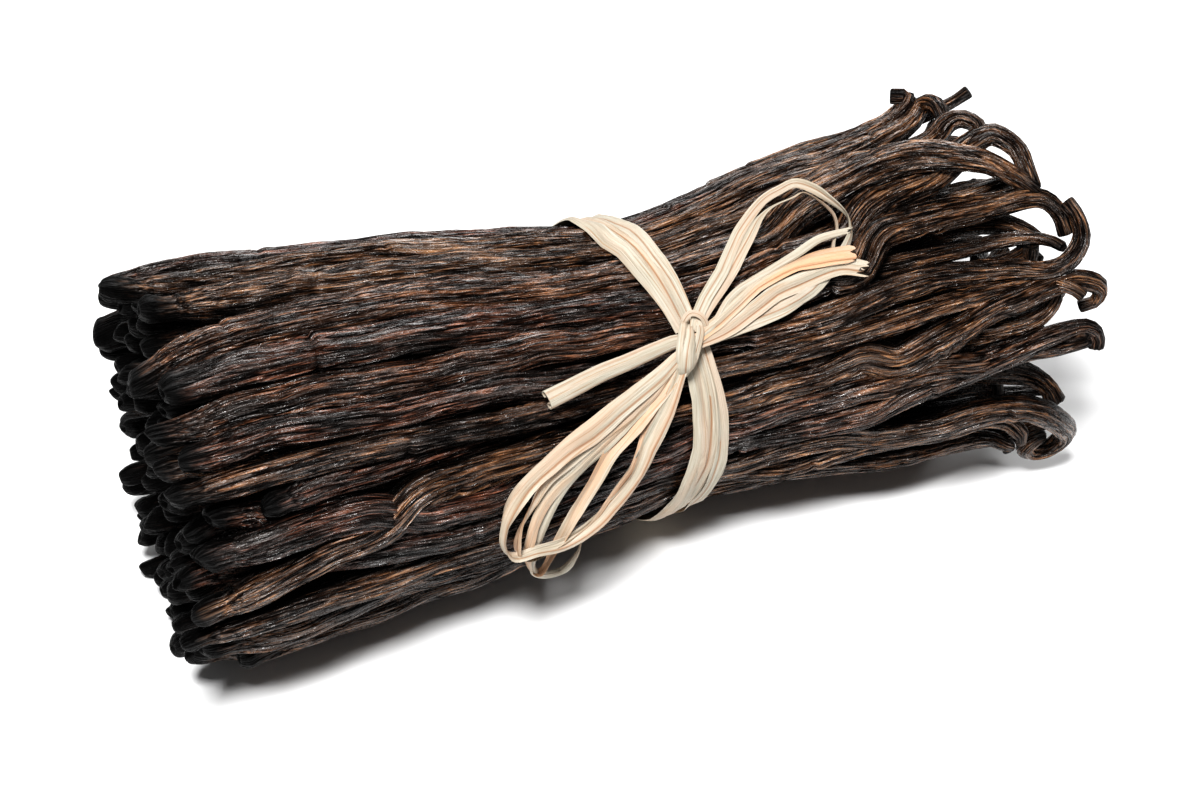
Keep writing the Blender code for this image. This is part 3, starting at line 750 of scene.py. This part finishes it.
def route_frame(rng, places, step, roll, bends=1.0):
    """A strand's middle line, with the directions across it and out of it, turned by its roll."""
    smooth = spline(np.array(places, dtype=float), step)
    line = on_bundle(smooth[:, 0], smooth[:, 1], smooth[:, 2])
    s = run_along(line)
    ahead = headings(line)
    turn = np.radians(smooth[:, 1])
    up = np.stack([0 * turn, -np.cos(turn), np.sin(turn)], axis=-1)
    up -= (up * ahead).sum(axis=1)[:, None] * ahead
    up /= np.linalg.norm(up, axis=1)[:, None]
    side = np.cross(up, ahead)
    line = line + bends * kinked(rng, s, KINK_SHIFT)[:, None] * side
    angle = np.radians(spread(roll, s) + bends * kinked(rng, s, KINK_ROLL))
    side, up = (side * np.cos(angle)[:, None] + up * np.sin(angle)[:, None],
                up * np.cos(angle)[:, None] - side * np.sin(angle)[:, None])
    return line, s, ahead, side, up


def spread(values, s):
    """Values given evenly along a strand, read at the distances s."""
    values = np.atleast_1d(values).astype(float)
    return np.interp(s / s[-1], np.linspace(0, 1, len(values)), values)


def slow_wave(rng, s, shortest):
    """A slow random wave along a strand, about -1 to 1."""
    waves = (np.sin(s / (shortest * rng.uniform(1, 2.2)) + rng.uniform(0, 6)) for _ in range(3))
    return sum(waves) / 1.8


def flat_section(rng, s, wide, folds, cup, across):
    """Cross-sections of a flat strand: places across it, heights, and a fold mark, 1 in the bottom of a
    valley fold, that is part rust colour and part painted shade.
    """
    knots = [np.full_like(s, -1.0)]
    for k in range(folds):
        middle = -1 + 2 * (k + 1) / (folds + 1) + rng.uniform(-0.2, 0.2)
        knots.append(middle + 0.12 * slow_wave(rng, s, 9))
    knots.append(np.full_like(s, 1.0))
    sign = rng.choice((-1, 1))
    heights = []
    for k in range(folds + 2):
        sign = -sign
        heights.append(sign * (0.07 + 0.05 * slow_wave(rng, s, 7)) * np.minimum(wide, 4))
    parts = max(2, across // (folds + 1))
    t, h, valley_rust_and_shade = [], [], []
    for k in range(folds + 1):
        for f in np.linspace(0, 1, parts, endpoint=k == folds):
            t.append(knots[k] * (1 - f) + knots[k + 1] * f)
            h.append(heights[k] * (1 - f) + heights[k + 1] * f)
            at_fold = f == 0 and k > 0
            # a valley fold gets the full mark, a ridge fold a faint one: rust colour with painted shade
            # where shade falls
            valley_rust_and_shade.append(np.where(heights[k] < 0, 1.0, 0.15) * at_fold)
    t, h, valley_rust_and_shade = np.array(t).T, np.array(h).T, np.array(valley_rust_and_shade).T
    return t * wide[:, None] / 2, h + cup * (1 - t**2) * wide[:, None] / 4, valley_rust_and_shade


def strand_surface(rng, places, width, roll=0, folds=2, cup=0.15, fray=0.0, step=0.9, across=12):
    """One flat strand as a closed tube of points, its fold marks of rust and painted shade, and its
    straight shape.
    """
    line, s, ahead, side, up = route_frame(rng, places, step, roll)
    up = up + 0.10 * slow_wave(rng, s, 6)[:, None] * side
    wide = spread(width, s) * (1 + 0.05 * slow_wave(rng, s, 8) + kinked(rng, s, 0.09))
    u, h, valley_rust_and_shade = flat_section(rng, s, wide, folds, cup, across)
    half = STRAND_THICKNESS / 2 * np.sqrt(np.clip(1.04 - (2 * u / wide[:, None]) ** 6, 0.04, 1))
    base = line[:, None] + side[:, None] * u[..., None]
    if fray:
        ragged = rng.uniform(-fray, fray, u.shape[1])
        near = np.exp(-(s[-1] - s) / 2.0)
        base = base + ahead[:, None] * (near[:, None] * ragged)[..., None]
    upper = base + up[:, None] * (h + half)[..., None]
    lower = base + up[:, None] * (h - half)[..., None]
    return both_sides(upper, lower, valley_rust_and_shade, s, u)


def both_sides(upper, lower, valley_rust_and_shade, s, u):
    """Joins a strand's outer and inner faces into one closed tube."""
    grid = np.concatenate([upper, lower[:, ::-1]], axis=1)
    marks = np.concatenate([valley_rust_and_shade, valley_rust_and_shade[:, ::-1]], axis=1)
    S = np.broadcast_to(s[:, None], u.shape)
    face = np.stack([S, u, 0 * u], axis=-1)
    back = np.stack([S, u, 0 * u + 2.0], axis=-1)[:, ::-1]
    return grid, marks, np.concatenate([face, back], axis=1)


def rolled_surface(rng, places, size, step=0.9, across=34):
    """A strand whose two edges are rolled in under it, as a closed tube of points."""
    line, s, _, side, up = route_frame(rng, places, step, 0, bends=0.25)
    q = np.linspace(-1, 1, across)
    bend = np.where(np.abs(q) < 0.34, 0.36, 1.35 + 0.9 * (np.abs(q) - 0.34))
    length = 4.4
    turn = np.cumsum(bend * length * 2 / across)
    turn -= np.interp(0, q, turn)
    u = np.cumsum(np.cos(turn)) * length * 2 / across
    h = -np.cumsum(np.sin(turn)) * length * 2 / across
    u -= np.interp(0, q, u)
    h -= np.interp(0, q, h)
    grow = spread(size, s)[:, None]
    u, h = u * grow, h * grow
    nu, nh = np.sin(turn) * STRAND_THICKNESS / 2, np.cos(turn) * STRAND_THICKNESS / 2
    upper = line[:, None] + side[:, None] * (u + nu)[..., None] + up[:, None] * (h + nh)[..., None]
    lower = line[:, None] + side[:, None] * (u - nu)[..., None] + up[:, None] * (h - nh)[..., None]
    # the line where the edges roll under gets half a fold mark: rust colour with painted shade
    valley_rust_and_shade = np.broadcast_to(0.5 * (np.abs(np.abs(q) - 0.36) < 0.04), u.shape)
    return both_sides(upper, lower, valley_rust_and_shade, s, np.broadcast_to(q * length, u.shape))


def band_route(start, end, offsets, lift):
    """Once round the waist from angle start to end, with offsets along X given evenly on the way."""
    angles = np.linspace(start, end, 61)
    along_x = band_x(angles) + np.interp(np.linspace(0, 1, 61), np.linspace(0, 1, len(offsets)), offsets)
    return list(zip(along_x, angles, np.full(61, lift)))


# Per piece: each strand's route, its width in millimetres, its folds and its share of peach.
BAND = (
    (band_route(49, -309, (-1.6, -1.5, -1.8, -2.0, -2.2, -2.4, -2.6, -3.0, -1.2), 0.70),
     dict(width=(2.2, 3.4, 3.2, 3.0, 3.4, 4.0, 4.0, 3.6, 2.2), folds=1), 0.15),
    (band_route(46, -312, (0.4, 0.9, 0.8, 0.6, 0.2, 0.0, 0.0, 0.2, -0.3), 0.50),
     dict(width=(2.8, 4.6, 4.4, 3.8, 3.6, 3.8, 4.2, 3.8, 2.4), folds=3), 0.25),
    (band_route(48, -310, (1.8, 3.0, 3.3, 3.4, 3.0, 2.4, 2.4, 2.9, 1.0), 0.80),
     dict(width=(2.0, 2.6, 2.4, 2.2, 3.0, 3.4, 3.4, 3.2, 2.0), folds=1), 0.05),
)
UPPER_LOOP = (
    (UPPER_OUTER, dict(width=(2.0, 2.6, 2.4, 1.9, 1.7, 2.0, 2.4, 2.4, 2.0), folds=1, cup=0.3,
                       roll=(0, 0, 15, 40, 130, 165, 180, 180)), 0.08),
    (UPPER_INNER, dict(width=(1.8, 2.4, 2.6, 1.8, 1.3, 1.5, 1.8, 1.8, 1.6), folds=1, cup=0.3,
                       roll=(0, -10, -20, -50, -120, -160, -180, -180)), 0.2),
)
RIGHT_TAIL = (
    (PEACH_TAIL, dict(width=(2.0, 2.6, 3.2, 3.6, 3.6, 3.4), folds=2, roll=(0, -10, 5), fray=1.0), 1.0),
    (FRAYED_TAIL, dict(width=(2.0, 2.4, 2.8, 3.2, 3.0, 3.4), folds=2, roll=(0, 10, -5), fray=1.6), 0.25),
    (THIN_TAIL, dict(width=(1.4, 1.2, 1.3, 1.6, 1.5, 1.1), folds=1, roll=(0, -20, 20), fray=0.8), 0.1),
)
LOWER_LOOP = (
    (LOWER_OUTER, dict(width=(2.0, 3.4, 4.0, 3.2, 2.6, 2.0, 2.4, 3.2, 3.2, 2.2), folds=2, cup=0.2,
                       roll=(0, 10, 0, 20, 70, 150, 180, 185, 180)), 0.30),
    (LOWER_SECOND, dict(width=(1.8, 2.8, 3.4, 2.8, 2.2, 1.9, 3.0, 4.0, 3.6, 2.2), folds=2, cup=0.15,
                        roll=(0, -10, 0, -20, -80, -150, -175, -180, -180)), 0.55),
    (LOWER_THIRD, dict(width=(1.6, 2.6, 3.0, 2.4, 1.8, 1.7, 2.4, 3.2, 3.0, 2.0), folds=1, cup=0.2,
                       roll=(0, 5, -15, 20, 60, 120, 165, 180, 180)), 0.75),
    (LOWER_LOOSE, dict(width=(1.2, 1.6, 1.8, 1.6, 1.3, 1.4, 1.9, 1.8, 2.2, 1.6), folds=1, cup=0.2,
                       roll=(0, 10, 25, 10, -50, -130, -165, -180, -180)), 0.0),
)
KNOT = (
    (KNOT_LEFT, dict(width=(1.2, 1.7, 1.7, 1.0), folds=1, cup=0.8, step=0.4), 0.3),
    (KNOT_RIGHT, dict(width=(1.2, 1.7, 1.7, 1.0), folds=1, cup=0.7, step=0.4), 0.35),
    (KNOT_TOP, dict(width=(0.8, 1.2, 1.2, 0.9), folds=1, cup=0.7, step=0.4), 0.15),
    (KNOT_FRONT, dict(width=(1.1, 1.6, 2.4, 3.1, 2.0), folds=2, cup=0.8, step=0.4), 0.2),
)


def raffia_piece(name, parts, material, rows=1):
    """Joins strands that are given as (surface, share of peach) into one piece."""
    looks, straights = [], []
    for number, ((_, marks, straight), peach) in enumerate(parts):
        # the first value is the fold mark: rust colour with painted shade
        looks.append(np.stack([marks, np.full_like(marks, peach), 0 * marks], axis=-1))
        straights.append(straight + np.array([(number + len(name)) * 400.0, 0, 0]))
    grids = [surface[0] for surface, _ in parts]
    piece = grid_mesh(name, grids, strips_for(len(parts), rows), looks, straights)
    piece.data.set_sharp_from_angle(angle=math.radians(FOLD_ANGLE))
    piece.data.materials.append(material)
    return piece


def build_raffia(material):
    rng = np.random.default_rng(SEED + 1)
    pieces = []
    for name, strands in (("band", BAND), ("upper_loop", UPPER_LOOP), ("right_tail", RIGHT_TAIL),
                          ("lower_loop", LOWER_LOOP), ("knot", KNOT)):
        parts = [(strand_surface(rng, route, **shape), peach) for route, shape, peach in strands]
        pieces.append(raffia_piece(f"raffia_{name}", parts, material, rows=2 if name == "band" else 1))
    rolled = rolled_surface(rng, ROLLED_TAIL, (0.62, 0.72, 0.8, 0.88, 0.92))
    pieces.append(raffia_piece("raffia_left_tail", [(rolled, 0.1)], material))
    return pieces


# ---------------------------------------------------------------- materials
class Shading:
    """A material, with short ways to add its nodes. Each of them gives the new node's output."""

    def __init__(self, name):
        self.material = bpy.data.materials.new(name)
        self.material.use_nodes = True
        self.nodes = self.material.node_tree.nodes
        self.inputs = self.nodes["Principled BSDF"].inputs

    def put(self, value, socket):
        """Links an output to a socket, or gives the socket a number or a colour."""
        if isinstance(value, tuple):
            socket.default_value = (*value, 1.0)
        elif isinstance(value, float):
            socket.default_value = value
        else:
            self.material.node_tree.links.new(value, socket)

    def attribute(self, name):
        node = self.nodes.new("ShaderNodeAttribute")
        node.attribute_name = name
        return node.outputs["Vector"]

    def look(self):
        """The three values that grid_mesh stores as the look of each point."""
        node = self.nodes.new("ShaderNodeSeparateXYZ")
        self.put(self.attribute("look"), node.inputs[0])
        return node.outputs

    def math(self, operation, a, b=None, clamp=False):
        node = self.nodes.new("ShaderNodeMath")
        node.operation = operation
        node.use_clamp = clamp
        self.put(a, node.inputs[0])
        if b is not None:
            self.put(b, node.inputs[1])
        return node.outputs[0]

    def noise(self, vector, stretch, scale, detail, rough=0.55, distortion=0.0):
        mapping = self.nodes.new("ShaderNodeMapping")
        mapping.inputs["Scale"].default_value = stretch
        self.put(vector, mapping.inputs["Vector"])
        noise = self.nodes.new("ShaderNodeTexNoise")
        self.put(mapping.outputs[0], noise.inputs["Vector"])
        self.put(scale, noise.inputs["Scale"])
        self.put(detail, noise.inputs["Detail"])
        self.put(rough, noise.inputs["Roughness"])
        self.put(distortion, noise.inputs["Distortion"])
        return noise.outputs["Fac"]

    def ramp(self, value, stops):
        node = self.nodes.new("ShaderNodeValToRGB")
        elements = node.color_ramp.elements
        while len(elements) < len(stops):
            elements.new(0.5)
        for element, (at, colour) in zip(elements, stops):
            element.position = at
            element.color = (*colour, 1.0)
        self.put(value, node.inputs[0])
        return node.outputs["Color"]

    def mix(self, factor, a, b, blend="MIX"):
        node = self.nodes.new("ShaderNodeMix")
        node.data_type = "RGBA"
        node.blend_type = blend
        for at, value in ((0, factor), (6, a), (7, b)):
            self.put(value, node.inputs[at])
        return node.outputs[2]

    def creases(self, vector, stretch, scale, reach):
        """0 in the bottom of a long thin crease, 1 on the ridges between."""
        noise = self.noise(vector, stretch, scale, 1.5, distortion=0.4)
        off = self.math("ABSOLUTE", self.math("SUBTRACT", noise, 0.5))
        return self.math("DIVIDE", off, reach, clamp=True)

    def weighted(self, *terms):
        """The sum of each value times its weight."""
        total = None
        for value, weight in terms:
            part = self.math("MULTIPLY", value, weight)
            total = part if total is None else self.math("ADD", total, part)
        return total

    def remap(self, value, low, high, to_low=0.0, to_high=1.0):
        node = self.nodes.new("ShaderNodeMapRange")
        node.interpolation_type = "SMOOTHSTEP"
        self.put(value, node.inputs["Value"])
        for name, number in zip(("From Min", "From Max", "To Min", "To Max"), (low, high, to_low, to_high)):
            node.inputs[name].default_value = number
        return node.outputs[0]

    def bump(self, height, distance):
        node = self.nodes.new("ShaderNodeBump")
        self.put(1.0, node.inputs["Strength"])
        self.put(distance, node.inputs["Distance"])
        self.put(height, node.inputs["Height"])
        self.put(node.outputs[0], self.inputs["Normal"])


def pod_material():
    pod = Shading("cured_pod_skin")
    relief_and_painted_shade, char, tone = pod.look()
    straight = pod.attribute("straight")
    wide = pod.creases(straight, (0.055, 1.0, 1.0), 1.15, 0.09)
    thin = pod.creases(straight, (0.075, 1.0, 1.0), 2.3, 0.10)
    off_vein = pod.creases(straight, (0.045, 1.0, 1.0), 1.6, 0.08)
    patch = pod.noise(straight, (0.05, 0.16, 0.16), 1.0, 3.0)
    streak = pod.noise(straight, (0.07, 1.0, 1.0), 1.1, 3.0)
    speck = pod.noise(straight, (0.5, 1.0, 1.0), 2.8, 3.0, 0.65)

    height = pod.weighted((relief_and_painted_shade, 0.46), (wide, 0.31), (thin, 0.23))
    light = pod.weighted((patch, 0.9), (streak, 1.2), (tone, 0.30))
    vein = pod.math("SUBTRACT", 1.0, off_vein)
    copper = pod.math(
        "MULTIPLY", pod.remap(light, 0.96, 1.40), pod.weighted((vein, 0.90), (height, 0.22)), clamp=True,
    )
    # The crease bottoms go near black: painted shade in the creases and on the flanks, over the skin's own
    # dark and copper colours.
    dark_skin_and_crease_shade = pod.ramp(height, (
        (0.22, (0.0010, 0.0008, 0.0007)), (0.52, (0.011, 0.0085, 0.0076)), (0.85, (0.050, 0.038, 0.033)),
    ))
    brown_skin_and_crease_shade = pod.ramp(height, (
        (0.20, (0.002, 0.0010, 0.0007)), (0.42, (0.040, 0.0155, 0.008)), (0.62, (0.19, 0.079, 0.040)),
        (0.85, (0.39, 0.184, 0.100)),
    ))
    ochre = pod.mix(1.0, brown_skin_and_crease_shade, (1.05, 1.12, 0.95), "MULTIPLY")
    red = pod.mix(1.0, brown_skin_and_crease_shade, (0.95, 0.78, 0.80), "MULTIPLY")
    hue = pod.mix(pod.remap(tone, 0.35, 0.8), red, ochre)
    skin = pod.mix(copper, dark_skin_and_crease_shade, hue)
    charred = pod.mix(char, skin, (0.0035, 0.0033, 0.0033))
    pod.put(charred, pod.inputs["Base Color"])

    gloss = pod.remap(speck, 0.35, 0.68, 0.16, 0.42)
    rough = pod.math("ADD", gloss, pod.math("MULTIPLY", char, 0.35), clamp=True)
    pod.put(rough, pod.inputs["Roughness"])
    pod.put(0.9, pod.inputs["Specular IOR Level"])
    # Painted shade on the reflection: the specular tint drops in the creases and on the flanks; char makes
    # the skin duller too.
    open_to_light = pod.remap(height, 0.34, 0.72, 0.06, 1.0)
    uncharred = pod.math("SUBTRACT", 1.0, pod.math("MULTIPLY", char, 0.75))
    shine_with_painted_shade = pod.math("MULTIPLY", open_to_light, uncharred)
    pod.put(shine_with_painted_shade, pod.inputs["Specular Tint"])

    bump_height = pod.weighted((wide, 0.5), (thin, 0.34), (speck, 0.36))
    pod.bump(bump_height, 0.0008)
    return pod.material


def raffia_material():
    raffia = Shading("raffia_fibre")
    fold_rust_and_shade, peach, _ = raffia.look()
    straight = raffia.attribute("straight")
    fibre = raffia.noise(straight, (0.025, 1.0, 1.0), 3.4, 4.0, 0.6)
    patch = raffia.noise(straight, (0.05, 0.35, 0.35), 1.0, 3.0)
    line = raffia.noise(straight, (0.02, 1.0, 1.0), 2.2, 1.0)
    cream = raffia.ramp(fibre, (
        (0.28, (0.33, 0.265, 0.185)), (0.42, (0.43, 0.385, 0.30)), (0.58, (0.51, 0.475, 0.39)),
        (0.75, (0.62, 0.595, 0.52)),
    ))
    rosy = raffia.mix(raffia.remap(patch, 0.42, 0.66, 0.0, 0.5), cream, (0.54, 0.41, 0.32))
    tint = raffia.math("MULTIPLY", peach, raffia.remap(patch, 0.32, 0.66, 0.10, 0.85))
    peachy = raffia.mix(tint, rosy, (0.66, 0.37, 0.20))
    fine_line = raffia.remap(line, 0.645, 0.70, 0.0, 0.55)
    lined = raffia.mix(fine_line, peachy, (0.40, 0.22, 0.10))
    # Rust-brown in the folds: partly the fibre's own colour, partly painted shade in the valleys.
    folded = raffia.mix(raffia.math("MULTIPLY", fold_rust_and_shade, 0.85), lined, (0.30, 0.13, 0.05))
    raffia.put(folded, raffia.inputs["Base Color"])
    raffia.put(0.48, raffia.inputs["Roughness"])
    raffia.put(0.4, raffia.inputs["Specular IOR Level"])
    raffia.bump(fibre, 0.00025)
    return raffia.material


# ---------------------------------------------------------------- stage
CAMERA_HEIGHT = 42.0  # degrees above the horizon
CAMERA_TURN = 21.5
CAMERA_FAR = 420.0
CAMERA_TARGET = np.array([-10.5, 0.0, 24.4])
CAMERA_LENS = 65.2
LIGHTS = (  # the place and the size in metres, and the power in watts
    ("key", (-0.16, -0.26, 0.62), (0.15, 0.15), 6.4),
    ("rim", (0.25, 0.5, 0.45), (0.4, 0.3), 3.0),
)
LIGHT_TARGET = (0, 0, 0.03)
WORLD_LIGHT = 0.10


def look_at(obj, target):
    obj.rotation_euler = (Vector(target) - obj.location).to_track_quat("-Z", "Y").to_euler()


def add_area(name, place, size, power):
    light = bpy.data.lights.new(name, "AREA")
    light.shape = "RECTANGLE"
    light.size, light.size_y = size
    light.energy = power
    obj = bpy.data.objects.new(name, light)
    bpy.context.scene.collection.objects.link(obj)
    obj.location = place
    look_at(obj, LIGHT_TARGET)


def build_stage():
    scene = bpy.context.scene
    scene.view_settings.view_transform = "Standard"
    scene.view_settings.look = "Medium High Contrast"
    up = math.radians(CAMERA_HEIGHT)
    turn = math.radians(CAMERA_TURN)
    back = np.array([-math.cos(up) * math.sin(turn), -math.cos(up) * math.cos(turn), math.sin(up)])
    camera = bpy.data.cameras.new("camera")
    camera.lens = CAMERA_LENS
    camera.sensor_width = 36
    camera.clip_start = 0.01
    rig = bpy.data.objects.new("camera", camera)
    scene.collection.objects.link(rig)
    target = (CAMERA_TARGET + SHIFT) * MM
    rig.location = target + back * CAMERA_FAR * MM
    look_at(rig, target)
    scene.camera = rig

    world = bpy.data.worlds.new("studio")
    world.use_nodes = True
    world.node_tree.nodes["Background"].inputs["Color"].default_value = (1.0, 1.0, 1.0, 1.0)
    world.node_tree.nodes["Background"].inputs["Strength"].default_value = WORLD_LIGHT
    scene.world = world
    for light in LIGHTS:
        add_area(*light)

    bpy.ops.mesh.primitive_plane_add(size=3.0, location=(0, 0, 0))
    floor = bpy.context.object
    floor.name = "floor"
    paper = Shading("floor_paper")
    paper.put((0.86, 0.86, 0.86), paper.inputs["Base Color"])
    paper.put(0.9, paper.inputs["Roughness"])
    floor.data.materials.append(paper.material)


# ---------------------------------------------------------------- everything together
pod_skin = pod_material()
pod_pieces = build_pods(pod_skin)
pod_pieces.append(build_painted_shade_core(pod_skin))
raffia_pieces = build_raffia(raffia_material())
for piece in pod_pieces:
    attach(piece, "root")
    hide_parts("pods")
for piece in raffia_pieces:
    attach(piece, "root")
    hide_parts("raffia_tie")
build_stage()
